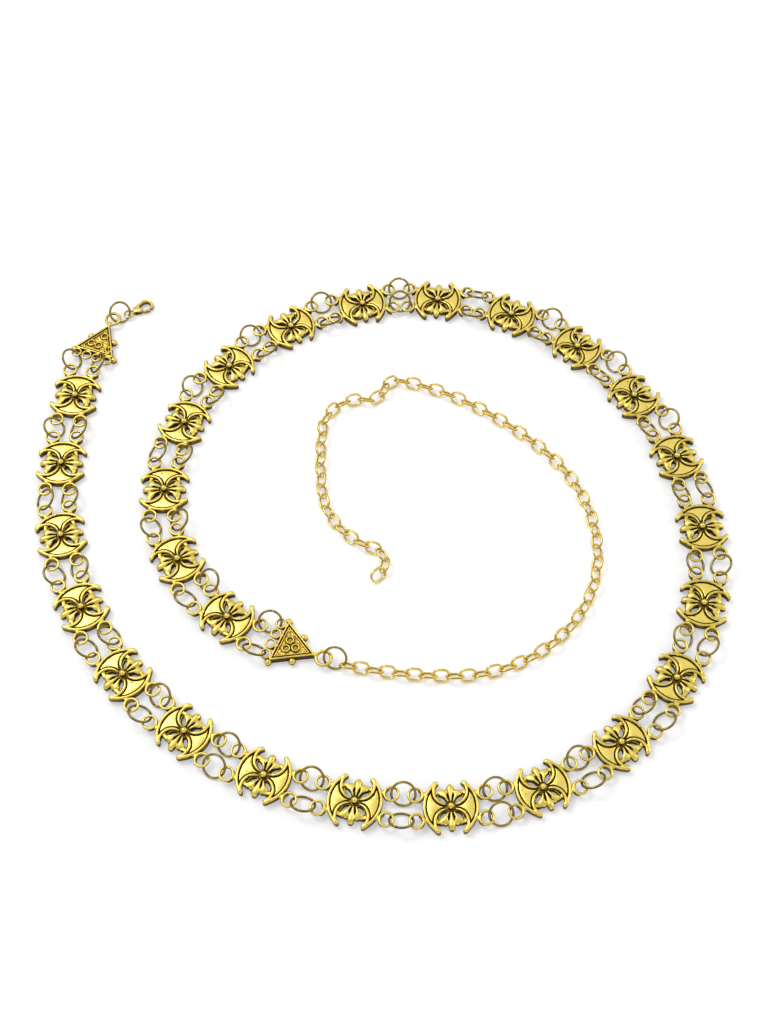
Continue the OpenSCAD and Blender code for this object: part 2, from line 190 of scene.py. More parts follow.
@dataclass(frozen=True)
class AntiqueGold:
    """Plated gold with dark patina where polishing does not reach, painted shade on its side walls and a
    painted highlight on its raised ridges.
    """

    name: str
    bright: tuple[float, float, float]
    shade: tuple[float, float, float]
    olive: tuple[float, float, float]
    patina_and_shade: tuple[float, float, float]
    polish: float
    grain: float
    specks: float = 0.0
    olive_band: tuple[float, float] = (0.16, 0.42)
    patina_and_shade_band: tuple[float, float] = (0.42, 0.82)

    def make(self) -> bpy.types.Material:
        """Builds the material.

        Returns:
            The finished material.
        """
        material = bpy.data.materials.new(self.name)
        material.use_nodes = True
        tree = material.node_tree
        tree.nodes.clear()
        shader = Shader(tree)
        place = shader.node("ShaderNodeTexCoord", {}, {}, "Object")
        cloud, fine, pits = (
            shader.node("ShaderNodeTexNoise", {}, {"Vector": place, "Scale": scale, "Detail": detail})
            for scale, detail in (CLOUD_NOISE, FINE_NOISE, PIT_NOISE)
        )
        patina_and_wall_shade, wear_and_sheen = (
            shader.node("ShaderNodeAttribute", {"attribute_name": name}, {}, "Fac") for name in (PATINA_AND_WALL_SHADE, WEAR_AND_SHEEN)
        )
        # The reading holds real patina in the hollows plus painted shade on the side walls; worn ridges with
        # their painted highlight lower it.
        reading = patina_and_wall_shade + (cloud - 0.5) * CLOUD_SHIFT + (fine - 0.5) * FINE_SHIFT - wear_and_sheen * WEAR_SHIFT
        reading = reading + pits.ramp(*PIT_BAND) * self.specks
        # Olive, then dark: real patina in the hollows and painted shade on the side walls.
        olive_patina_and_shade = reading.ramp(*self.olive_band)
        dark_patina_and_shade = reading.ramp(*self.patina_and_shade_band)
        # The noises give real mottling of the gold; raised ridges are pushed to the bright gold as a painted
        # highlight on top of their wear.
        tone = (cloud * 0.6 + fine * 0.4).ramp(0.38, 0.66) * 0.6 + 0.34 - wear_and_sheen * 0.6
        metal = shader.mix(tone.clamped(), self.bright, self.shade)
        colour = shader.mix(dark_patina_and_shade, shader.mix(olive_patina_and_shade, metal, self.olive), self.patina_and_shade)
        rough = self.polish + fine * FINE_ROUGH + olive_patina_and_shade * OLIVE_ROUGH + dark_patina_and_shade * DARK_ROUGH
        height = fine * 0.6 + cloud * 0.4
        relief = {"Strength": self.grain, "Distance": BUMP_DEPTH, "Height": height}
        bump = shader.node("ShaderNodeBump", {}, relief, "Normal")
        sockets = {"Base Color": colour, "Metallic": 1.0 - dark_patina_and_shade * DARK_DULLING, "Normal": bump}
        sockets["Roughness"] = rough.clamped()
        surface = shader.node("ShaderNodeBsdfPrincipled", {}, sockets, "BSDF")
        out = tree.nodes.new("ShaderNodeOutputMaterial")
        tree.links.new(surface.socket, out.inputs["Surface"])
        return material


OLIVE = (0.25, 0.16, 0.020)
DARK = (0.055, 0.026, 0.005)
PLAQUE_GOLD = AntiqueGold(
    "plaque_gold", (0.95, 0.76, 0.19), (0.68, 0.47, 0.055), OLIVE, DARK, 0.3, 0.8, 0.7
)
PLATE_GOLD = AntiqueGold(
    "plate_gold",
    (1.0, 0.76, 0.18),
    (0.70, 0.47, 0.06),
    OLIVE,
    DARK,
    0.28,
    0.6,
    specks=0.3,
    olive_band=(0.12, 0.34),
    patina_and_shade_band=(0.32, 0.66),
)
RING_GOLD = AntiqueGold(
    "ring_gold", (0.38, 0.28, 0.065), (0.19, 0.125, 0.022), (0.085, 0.055, 0.01), DARK, 0.26, 0.25
)
CLASP_GOLD = AntiqueGold("clasp_gold", (0.98, 0.78, 0.26), (0.76, 0.54, 0.13), OLIVE, DARK, 0.2, 0.15)
LINK_GOLD = AntiqueGold(
    "link_gold", (0.92, 0.70, 0.20), (0.62, 0.42, 0.09), (0.26, 0.17, 0.03), DARK, 0.22, 0.2
)


@dataclass(frozen=True)
class PalePaper:
    """The sweep of pale paper under the chain."""

    name: str = "pale_paper"
    colour: tuple[float, float, float] = (0.76, 0.76, 0.76)
    glow: float = 0.34

    def make(self) -> bpy.types.Material:
        """Builds the material."""
        material = bpy.data.materials.new(self.name)
        material.use_nodes = True
        surface = material.node_tree.nodes["Principled BSDF"]
        surface.inputs["Base Color"].default_value = (*self.colour, 1.0)
        surface.inputs["Roughness"].default_value = 0.9
        surface.inputs["Specular IOR Level"].default_value = 0.1
        surface.inputs["Emission Color"].default_value = (1.0, 1.0, 1.0, 1.0)
        surface.inputs["Emission Strength"].default_value = self.glow
        return material


# Places


@dataclass(frozen=True)
class Pose:
    """A place on the surface, in millimetres, and a heading in degrees."""

    x: float
    y: float
    heading: float

    def along(self, ahead: float, left: float) -> Vector:
        """The point that lies so far ahead and to the left, at height 0."""
        turn = math.radians(self.heading)
        return Vector(
            (
                self.x + ahead * math.cos(turn) - left * math.sin(turn),
                self.y + ahead * math.sin(turn) + left * math.cos(turn),
                0.0,
            )
        )

    def step(self, ahead: float, left: float, turn: float) -> "Pose":
        """The pose so far ahead and to the left, turned by turn."""
        point = self.along(ahead, left)
        return Pose(point.x, point.y, self.heading + turn)

    def back(self) -> "Pose":
        """The same place, facing back."""
        return Pose(self.x, self.y, self.heading + 180.0)

    def matrix(self) -> Matrix:
        """The transform from the pose's own frame, both in metres."""
        turn = Matrix.Rotation(math.radians(self.heading), 4, "Z")
        return Matrix.Translation(Vector((self.x, self.y, 0.0)) * MM) @ turn


@dataclass
class Layout:
    """How the chain lies, in millimetres, with the sizes that its route follows."""

    start_heading: float = -96.0
    plaque_l: float = 19.6
    plaque_w: float = 18.4
    tip_gap: float = 10.0
    loop_hole: float = 3.9
    loop_wire: float = 1.0
    loop_span: float = 9.4
    loop_neck: float = 0.4
    loop_z: float = 2.9
    ring_od: float = 9.3
    end_ring_od: float = 9.2
    ring_wire: float = 0.9
    ring_lean: float = 36.0
    end_ring_lean: float = 45.0
    ring_back: float = 0.6
    end_ring_back: float = 0.2
    wide_hole_share: float = 0.8
    ring_slack: float = 0.3
    end_ring_slack: float = 1.4
    surface_gap: float = 0.1
    plate_side: float = 17.6
    base_pitch: float = 4.4
    base_rings: int = 4
    base_x: float = -2.0
    tip_hole: float = 4.4
    tip_wire: float = 1.2
    bite: float = 0.3
    plate_spacing: float = 7.3
    eye_z: float = 2.6 * 0.68
    eye_wire: float = 0.8
    link_l: float = 7.1
    link_w: float = 5.35
    link_wire: float = 0.95
    link_play: float = 0.32
    link_roll: float = 45.0
    near_links: int = 38
    belt_runs: tuple = (
        (1, 6.0, -0.2), (4, 13.5, 0.4), (3, 13.0, 1.1), (5, 18.5, 0.5),
        (3, 14.5, 0.3), (5, 18.0, -0.9), (2, 21.0, -0.7), (2, 26.0, -0.5),
    )
    link_runs: tuple = (
        (9, 1.5), (9, 5.0), (8, 5.5), (10, 4.5), (9, 2.0), (5, 3.0), (2, 44.0),
        (2, -41.0), (5, 18.5), (6, 2.0), (6, 9.0), (1, 7.0), (3, -38.5),
    )
    outer_leans: tuple = (
        -1, -1, 1, -1, -1, -1, 1, -1, -1, 1, -1, -1, -1, -1, 1, -1, -1, -1, 1, -1, -1, -1, -1, 1, -1, -1, -1,
    )
    inner_leans: tuple = (
        1, 1, 1, 1, -1, 1, 1, 1, 1, 1, 1, -1, 1, 1, 1, 1, 1, 1, 1, -1, 1, 1, 1, 1, 1, 1, 1,
    )
    clasp_hang: tuple = (-2.9, -13.5, 0, 2)
    chain_hang: tuple = (3.9, 14.0, 0, 3)
    clasp_bearing: float = -41.0
    clasp_turn: float = -38.0
    chain_bearing: float = 5.0
    chain_turn: float = 11.0
    plaques: list = field(default_factory=list)
    links: list = field(default_factory=list)

    def __post_init__(self) -> None:
        """Walks the belt and the extension chain."""
        sag = (self.plaque_l - self.tip_gap) / 2
        self.crest_r = (self.plaque_w**2 / 4 + sag**2) / (2 * sag)
        self.crest_x = self.plaque_l / 2 - self.crest_r
        self.loop_r = (self.loop_hole + self.loop_wire) / 2
        self.loop_y = self.loop_span / 2
        self.crest_at_loop = self.crest_x + math.sqrt(self.crest_r**2 - self.loop_y**2)
        self.loop_x = self.crest_at_loop + self.loop_neck + self.loop_r + self.loop_wire / 2
        self.ring_r = (self.ring_od - self.ring_wire) / 2
        self.end_ring_r = (self.end_ring_od - self.ring_wire) / 2
        self.tip_x = self.plate_side * math.sqrt(3) / 2 + (self.tip_hole + self.tip_wire) / 2
        self.tip_x += self.tip_wire / 2 - self.bite
        pitch = 2 * self.loop_x + 2 * self.ring_r - self.ring_slack
        free = [Pose(0.0, 0.0, self.start_heading)]
        for count, bend, pull in self.belt_runs:
            for _ in range(count):
                last = free[-1]
                step = Pose(last.x, last.y, last.heading + bend / 2).step(pitch + pull, 0.0, bend / 2)
                free.append(step)
        sides = [(x * self.tip_gap / 2, y * self.plaque_w / 2) for x in (-1, 1) for y in (-1, 1)]
        tips = [pose.along(*side) for pose in free for side in sides]
        middle = [(min(t[i] for t in tips) + max(t[i] for t in tips)) / 2 for i in (0, 1)]
        self.plaques = [Pose(p.x - middle[0], p.y - middle[1], p.heading) for p in free]
        ahead = self.loop_x + self.plate_spacing - self.base_x
        self.clasp_plate = self.plaques[0].back().step(ahead, *self.clasp_hang[:2])
        self.chain_plate = self.plaques[-1].step(ahead, *self.chain_hang[:2])
        self.clasp = self._hung(self.clasp_plate, self.clasp_bearing, self.clasp_turn)
        self.link_pitch = self.link_l - 2 * self.link_wire - self.link_play
        self.link_z = (self.link_w - self.link_wire) / 2 * math.sin(math.radians(self.link_roll))
        self.link_z += self.link_wire / 2
        self.links = [self._hung(self.chain_plate, self.chain_bearing, self.chain_turn)]
        bends = [bend for count, bend in self.link_runs for _ in range(count)]
        for bend in bends[1:]:
            self.links.append(self.links[-1].step(self.link_pitch, 0.0, bend))

    def _hung(self, plate: Pose, bearing: float, turn: float) -> Pose:
        """The pose at the far side of an end ring.

        Args:
            plate: The end plate that the ring hangs on.
            bearing: The ring's direction from the plate's axis.
            turn: The heading of what hangs on, from the same axis.

        Returns:
            The pose.
        """
        reach = 2 * self.end_ring_r - self.end_ring_slack
        angle = math.radians(bearing)
        return plate.step(self.tip_x + reach * math.cos(angle), reach * math.sin(angle), turn)

    def loop_place(self, pose: Pose, end: int, side: int) -> Vector:
        """The middle of a plaque's cast loop."""
        return self.raised(pose.along(end * self.loop_x, side * self.loop_y), self.loop_z)

    def base_place(self, pose: Pose, index: int) -> Vector:
        """The middle of one of an end plate's small rings."""
        y = ((self.base_rings - 1) / 2 - index) * self.base_pitch
        return self.raised(pose.along(self.base_x, y), self.loop_z)

    @staticmethod
    def raised(point: Vector, z: float) -> Vector:
        """The point at height z."""
        return Vector((point.x, point.y, z))

    def ring_matrix(self, a: Vector, b: Vector, r: float, side: int, at_end: bool = False) -> Matrix:
        """Where a ring hangs through the holes at a and b, leaning off the surface.

        Args:
            a: The middle of the first hole.
            b: The middle of the second hole.
            r: The ring's centreline radius.
            side: 1 to lean to the left of the way from a to b, -1 to the right.
            at_end: Whether the ring hangs at an end plate.

        Returns:
            The ring's transform, in metres.
        """
        lean = self.end_ring_lean if at_end else self.ring_lean
        back = self.end_ring_back if at_end else self.ring_back
        share = self.wide_hole_share if at_end else 0.5
        way = b - a
        slope = math.atan2(way.z, math.hypot(way.x, way.y))
        climb = math.sin(math.radians(lean)) * math.cos(slope)
        low_z = (a.z + b.z) / 2 - r * math.hypot(climb, math.sin(slope))
        lift = max(0.0, (self.ring_wire / 2 + self.surface_gap - low_z) / climb)
        half = min(way.length / 2 + back, math.sqrt(r * r - lift * lift))
        slip = way.length - 2 * half
        roll = lean if side > 0 else 180.0 - lean
        turn = (
            Matrix.Rotation(math.atan2(way.y, way.x), 4, "Z")
            @ Matrix.Rotation(-slope, 4, "Y")
            @ Matrix.Rotation(math.radians(roll), 4, "X")
        )
        offset = Vector(((share - 0.5) * slip, math.sqrt(r * r - half * half), 0.0))
        return Matrix.Translation((a + b) / 2 * MM) @ turn @ Matrix.Translation(offset * MM)

    def row_matrices(self, side: int) -> list[Matrix]:
        """The transforms of one row of jump rings, from the clasp's end on."""
        inner = side > 0
        leans = self.inner_leans if inner else self.outer_leans
        behind, ahead = ([self.loop_place(pose, end, side) for pose in self.plaques] for end in (-1, 1))
        near = self.base_place(self.clasp_plate, self.clasp_hang[3 if inner else 2])
        far = self.base_place(self.chain_plate, self.chain_hang[2 if inner else 3])
        out = [self.ring_matrix(behind[0], near, self.ring_r, -leans[0], True)]
        for one, two, lean in zip(ahead, behind[1:], leans[1:]):
            out.append(self.ring_matrix(one, two, self.ring_r, lean))
        out.append(self.ring_matrix(ahead[-1], far, self.ring_r, leans[-1], True))
        return out

    def clasp_ring_matrix(self) -> Matrix:
        """The transform of the ring between the clasp's plate and the clasp."""
        tip = self.raised(self.clasp_plate.along(self.tip_x, 0.0), self.loop_z)
        eye = self.raised(self.clasp.along(self.eye_wire / 2, 0.0), self.eye_z)
        return self.ring_matrix(tip, eye, self.end_ring_r, 1, True)

    def chain_ring_matrix(self) -> Matrix:
        """The transform of the ring between the far plate and the extension chain."""
        tip = self.raised(self.chain_plate.along(self.tip_x, 0.0), self.loop_z)
        link = self.raised(self.links[0].along(self.link_wire, 0.0), self.link_z)
        return self.ring_matrix(tip, link, self.end_ring_r, 1, True)

    def link_matrix(self, index: int) -> Matrix:
        """The transform of one link of the extension chain."""
        roll = -self.link_roll if index % 2 == 0 else self.link_roll
        place = Matrix.Translation(Vector((self.link_pitch / 2, 0.0, self.link_z)) * MM)
        return self.links[index].matrix() @ place @ Matrix.Rotation(math.radians(roll), 4, "X")


# Mesh work


@dataclass(frozen=True)
class Station:
    """One section of a swept bar, in millimetres: its middle, its way ahead and its half sizes."""

    middle: Vector
    ahead: Vector
    half: float
    rise: float
    drop: float
    square: float = 0.45
    crest: float = 0.0


def standing(
    x: float,
    y: float,
    ahead: Vector,
    half: float,
    top: float,
    foot: float = FOOT,
    crest: float = 0.0,
    dome: float = 0.8,
) -> Station:
    """A section that stands on its foot and rises to its top, with round shoulders.

    Args:
        x: The section's place.
        y: The section's place.
        ahead: The bar's way ahead there.
        half: Half the bar's width.
        top: The height of its ridge.
        foot: The height of its underside.
        crest: 0 for a round ridge, up to 1 for a roof.
        dome: How high its rounded top may be.

    Returns:
        The section.
    """
    shoulder = max(foot + 0.1, top - min(max(half, 0.25), dome))
    return Station(Vector((x, y, shoulder)), ahead, half, top - shoulder, shoulder - foot, crest=crest)


class Forge:
    """A bmesh in millimetres, with the shapes that a chain maker uses."""

    def __init__(self) -> None:
        """Starts an empty mesh."""
        self.bm = bmesh.new()

    def section(self, station: Station, sides: int) -> list[bmesh.types.BMVert]:
        """Adds one section of a swept bar.

        Args:
            station: Where the section lies and how large it is.
            sides: How many points go round it.

        Returns:
            The section's vertices.
        """
        ahead = station.ahead.normalized()
        across = UP.cross(ahead).normalized()
        up = ahead.cross(across)
        ring = bmesh.ops.create_circle(self.bm, cap_ends=False, segments=sides, radius=1.0)["verts"]
        for vert in ring:
            c, s = vert.co.x, vert.co.y
            if s < 0:
                c = math.copysign(abs(c) ** station.square, c)
                s = -(abs(s) ** station.square)
                reach = station.drop * s
            else:
                reach = station.rise * ((1.0 - station.crest) * s + station.crest * (1.0 - abs(c)))
            vert.co = station.middle + across * (c * station.half) + up * reach
        return ring

    def bar(self, stations: Sequence[Station], sides: int = 20, closed: bool = False) -> None:
        """Sweeps a bar through sections and caps its ends.

        Args:
            stations: The sections in order.
            sides: How many points go round each one.
            closed: Whether the last section joins the first.
        """
        rings = [self.section(station, sides) for station in stations]
        edges = [list({edge for vert in ring for edge in vert.link_edges}) for ring in rings]
        pairs = list(zip(edges[:-1], edges[1:]))
        if closed:
            pairs.append((edges[-1], edges[0]))
        for one, two in pairs:
            bmesh.ops.bridge_loops(self.bm, edges=one + two)
        if not closed:
            bmesh.ops.holes_fill(self.bm, edges=edges[0], sides=0)
            bmesh.ops.holes_fill(self.bm, edges=edges[-1], sides=0)

    def ball(
        self, x: float, y: float, z: float, r: float, squash: float = 1.0, subdivisions: int = 3
    ) -> None:
        """Adds a ball that is squash times as high as it is wide."""
        shape = Matrix.Translation((x, y, z)) @ Matrix.Diagonal((1.0, 1.0, squash, 1.0))
        bmesh.ops.create_icosphere(self.bm, subdivisions=subdivisions, radius=r, matrix=shape)

    def post(self, x: float, y: float, low: float, high: float, r1: float, r2: float) -> None:
        """Adds a round post between two heights."""
        place = Matrix.Translation((x, y, (low + high) / 2))
        bmesh.ops.create_cone(
            self.bm, cap_ends=True, segments=40, radius1=r1, radius2=r2, depth=high - low, matrix=place
        )

    def ring(
        self,
        x: float,
        y: float,
        z: float,
        r: float,
        half: float,
        rise: float,
        drop: float,
        square: float = 0.8,
        deeper: float = 0.0,
        side: int = 1,
        edge: float = 0.0,
    ) -> None:
        """Adds a ring that lies flat.

        Args:
            x: The ring's middle.
            y: The ring's middle.
            z: The height of its widest section.
            r: The radius of its centreline.
            half: Half the width of its wall.
            rise: How far the wall rises over z.
            drop: How far the wall reaches under z.
            square: How square the wall's foot is, from 1 for round down to 0.
            deeper: How much deeper the wall is on one side.
            side: That side: 1 for +X, -1 for -X.
            edge: How far over to that side the deepening starts, as a share of r.
        """
        stations = []
        for step in range(RING_STEPS):
            angle = math.tau * step / RING_STEPS
            out = Vector((math.cos(angle), math.sin(angle), 0.0))
            depth = drop + deeper * min(1.0, max(0.0, side * math.cos(angle) - edge) * 2.0)
            middle = Vector((x, y, z)) + out * r
            stations.append(Station(middle, UP.cross(out), half, rise, depth, square))
        self.bar(stations, 16, closed=True)

    def ridge(
        self,
        path: Sequence[tuple[Vector, Vector]],
        halves: Sequence[float],
        tops: Sequence[float],
        flip: tuple[int, int] = (1, 1),
        crest: float = 0.0,
        dome: float = 0.8,
        ends: float = 0.0,
    ) -> None:
        """Sweeps a standing ridge along a path.

        Args:
            path: The points that it follows, each with the way ahead.
            halves: Half its width along its length.
            tops: The height of its top along its length.
            flip: The signs of the quarter that it is mirrored into.
            crest: 0 for a round ridge, up to 1 for a roof.
            dome: How high its rounded top may be.
            ends: Where not 0, both ends follow halves and tops, this many times as fast.
        """
        stations = []
        last = len(path) - 1
        for index, (point, ahead) in enumerate(path):
            share = min(index, last - index) / last * ends if ends else index / last
            way = Vector((ahead.x * flip[0], ahead.y * flip[1], 0.0))
            half, top = blend(halves, share), blend(tops, share)
            stations.append(standing(flip[0] * point.x, flip[1] * point.y, way, half, top, FOOT, crest, dome))
        self.bar(stations)

    def slab(self, outline: Sequence[Vector], low: float, high: float, bevel: float = 0.0) -> None:
        """Raises a slab on an outline.

        Args:
            outline: The corners in order, in the plane.
            low: The height of its underside.
            high: The height of its top.
            bevel: The width of the bevel round its top.
        """
        ring = bmesh.ops.create_circle(self.bm, cap_ends=True, segments=len(outline), radius=1.0)["verts"]
        for vert, point in zip(ring, outline):
            vert.co = Vector((point.x, point.y, low))
        face = list(ring[0].link_faces)
        raised = bmesh.ops.extrude_face_region(self.bm, geom=face, use_keep_orig=True)["geom"]
        top = [item for item in raised if isinstance(item, bmesh.types.BMVert)]
        bmesh.ops.translate(self.bm, verts=top, vec=UP * (high - low))
        if bevel:
            lid = [item for item in raised if isinstance(item, bmesh.types.BMFace)]
            edges = list({edge for one in lid for edge in one.edges})
            how = {"segments": 2, "profile": 0.5, "affect": "EDGES", "material": -1}
            bmesh.ops.bevel(self.bm, geom=edges, offset=bevel, **how)

    def mesh(self, name: str) -> bpy.types.Mesh:
        """Closes the bmesh into a mesh in metres."""
        bmesh.ops.recalc_face_normals(self.bm, faces=self.bm.faces[:])
        bmesh.ops.scale(self.bm, verts=self.bm.verts[:], vec=Vector((MM, MM, MM)))
        mesh = bpy.data.meshes.new(name)
        self.bm.to_mesh(mesh)
        self.bm.free()
        return mesh


def arc(x: float, y: float, r: float, start: float, end: float, steps: int) -> list[tuple[Vector, Vector]]:
    """Points along an arc in the plane.

    Args:
        x: The arc's middle.
        y: The arc's middle.
        r: Its radius.
        start: The angle it starts at, in degrees.
        end: The angle it ends at, in degrees.
        steps: How many stretches it has.

    Returns:
        Each point with the way ahead there.
    """
    out = []
    way = 1.0 if end > start else -1.0
    for step in range(steps + 1):
        angle = math.radians(start + (end - start) * step / steps)
        spoke = Vector((math.cos(angle), math.sin(angle), 0.0))
        out.append((Vector((x, y, 0.0)) + spoke * r, UP.cross(spoke) * way))
    return out


def blend(values: Sequence[float], share: float) -> float:
    """The value at a share of the way through evenly spread values, eased between them."""
    place = min(max(share, 0.0), 1.0) * (len(values) - 1)
    index = min(int(place), len(values) - 2)
    part = place - index
    part = part * part * (3.0 - 2.0 * part)
    return values[index] * (1.0 - part) + values[index + 1] * part


def cast(mesh: bpy.types.Mesh, voxel: float, triangles: int, rounds: int = 3) -> bpy.types.Mesh:
    """Fuses overlapping shapes into one casting and softens its edges.

    Args:
        mesh: The shapes, each closed, in metres.
        voxel: The finest detail that is kept, in millimetres.
        triangles: About how many triangles the casting may have.
        rounds: How many times it is smoothed.

    Returns:
        The casting's mesh.
    """
    rough = bpy.data.objects.new("casting", mesh)
    bpy.context.scene.collection.objects.link(rough)
    remesh = rough.modifiers.new("fuse", "REMESH")
    remesh.mode = "VOXEL"
    remesh.voxel_size = voxel * MM * 1.0
    soften = rough.modifiers.new("soften", "SMOOTH")
    soften.iterations = rounds
    soften.factor = 0.5
    count = len(rough.evaluated_get(bpy.context.evaluated_depsgraph_get()).data.polygons) * 2
    thin = rough.modifiers.new("thin", "DECIMATE")
    thin.ratio = min(1.0, triangles / max(count, 1))
    out = bpy.data.meshes.new_from_object(rough.evaluated_get(bpy.context.evaluated_depsgraph_get()))
    bpy.data.objects.remove(rough)
    bpy.data.meshes.remove(mesh)
    return out


# How many directions are tried at each point, and how strongly raised edges count as worn and are painted
# bright as a highlight
RAYS, QUICK_RAYS, WEAR_AND_SHEEN_GAIN = 28, 10, 40.0


def sky_directions(count: int) -> list[Vector]:
    """Directions over the upper half of a ball, weighted towards its top."""
    out = []
    for index in range(count):
        height = math.sqrt(1.0 - (index + 0.5) / count)
        turn = index * math.pi * (3.0 - math.sqrt(5.0))
        side = math.sqrt(1.0 - height * height)
        out.append(Vector((side * math.cos(turn), side * math.sin(turn), height)))
    return out


def mean_of_neighbours(values: np.ndarray, edges: np.ndarray) -> np.ndarray:
    """The mean of each point's neighbours."""
    total, count = np.zeros_like(values), np.zeros(len(values))
    for a, b in ((0, 1), (1, 0)):
        np.add.at(total, edges[:, a], values[edges[:, b]])
        np.add.at(count, edges[:, a], 1)
    count = np.maximum(count, 1)
    return total / (count[:, None] if total.ndim > 1 else count)


def weather_and_shade(mesh: bpy.types.Mesh, reach: float = 2.2, sheer: float = 0.68, lies_flat: bool = True) -> None:
    """Writes each point's patina in hollows with painted shade on side walls, and its wear with a painted
    highlight on raised edges.

    Args:
        mesh: The mesh, in metres.
        reach: How far off a wall still shades a point, in millimetres.
        sheer: How strongly side walls are darkened, as painted shade.
        lies_flat: Whether only its +Z side is seen and polished.
    """
    tree = BVHTree.FromPolygons([v.co for v in mesh.vertices], [p.vertices[:] for p in mesh.polygons])
    sky = sky_directions(RAYS)
    patina_and_wall_shade = np.zeros(len(mesh.vertices))
    for index, vert in enumerate(mesh.vertices):
        turn = UP.rotation_difference(vert.normal)
        start = vert.co + vert.normal * (0.03 * MM)
        shade = 0.0
        for way in sky:
            distance = tree.ray_cast(start, turn @ way, reach * MM)[3]
            if distance is not None:
                shade += 1.0 - 0.6 * distance / (reach * MM)
        patina_and_wall_shade[index] = shade / len(sky)
    edges = np.array([e.vertices[:] for e in mesh.edges])
    places = np.array([v.co[:] for v in mesh.vertices])
    facing = np.array([v.normal[:] for v in mesh.vertices])
    for _ in range(2):
        patina_and_wall_shade = 0.5 * patina_and_wall_shade + 0.5 * mean_of_neighbours(patina_and_wall_shade, edges)
    rise = np.clip(facing[:, 2], 0.0, 1.0) if lies_flat else np.abs(facing[:, 2])
    # Painted shade: walls that turn away from the top are darkened on top of the real patina in the hollows.
    patina_and_wall_shade += sheer * (1.0 - rise) ** 2
    bulge = ((places - mean_of_neighbours(places, edges)) * facing).sum(1) / MM
    # Raised edges that face up: real wear that lifts the patina, and a painted highlight where the material
    # brightens them.
    wear_and_sheen = np.clip(mean_of_neighbours(bulge, edges) * WEAR_AND_SHEEN_GAIN, 0.0, 1.0) * rise
    for name, values in ((PATINA_AND_WALL_SHADE, patina_and_wall_shade), (WEAR_AND_SHEEN, wear_and_sheen)):
        layer = mesh.attributes.new(name, "FLOAT", "POINT")
        layer.data.foreach_set("value", values.astype(np.float32))


def gathered(name: str, master: bpy.types.Mesh, places: Iterable[Matrix]) -> bpy.types.Mesh:
    """One mesh of copies of a master, each in its place."""
    bm = bmesh.new()
    for place in places:
        before = len(bm.verts)
        bm.from_mesh(master)
        bm.verts.ensure_lookup_table()
        bmesh.ops.transform(bm, matrix=place, verts=bm.verts[before:])
    mesh = bpy.data.meshes.new(name)
    bm.to_mesh(mesh)
    bm.free()
    return mesh


def place_piece(
    node: str,
    master: bpy.types.Mesh,
    places: Iterable[Matrix],
    material: bpy.types.Material,
    body: Body = Body.CHAIN,
) -> None:
    """Puts a finished piece in the scene in the place of its CAD node.

    Args:
        node: The CAD node that it replaces, which it is named after.
        master: The mesh that it is copies of.
        places: Where the copies lie.
        material: Its finish.
        body: The body that it rides on.
    """
    name = f"dressed_{node}"
    mesh = gathered(node, master, places)
    mesh.materials.clear()
    mesh.materials.append(material)
    mesh.polygons.foreach_set("use_smooth", [True] * len(mesh.polygons))
    piece = bpy.data.objects.new(name, mesh)
    bpy.context.scene.collection.objects.link(piece)
    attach(piece, body.value)
    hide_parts(node)
    LOG.info("%s: %d faces", name, len(mesh.polygons))


# The chain's sub-assemblies


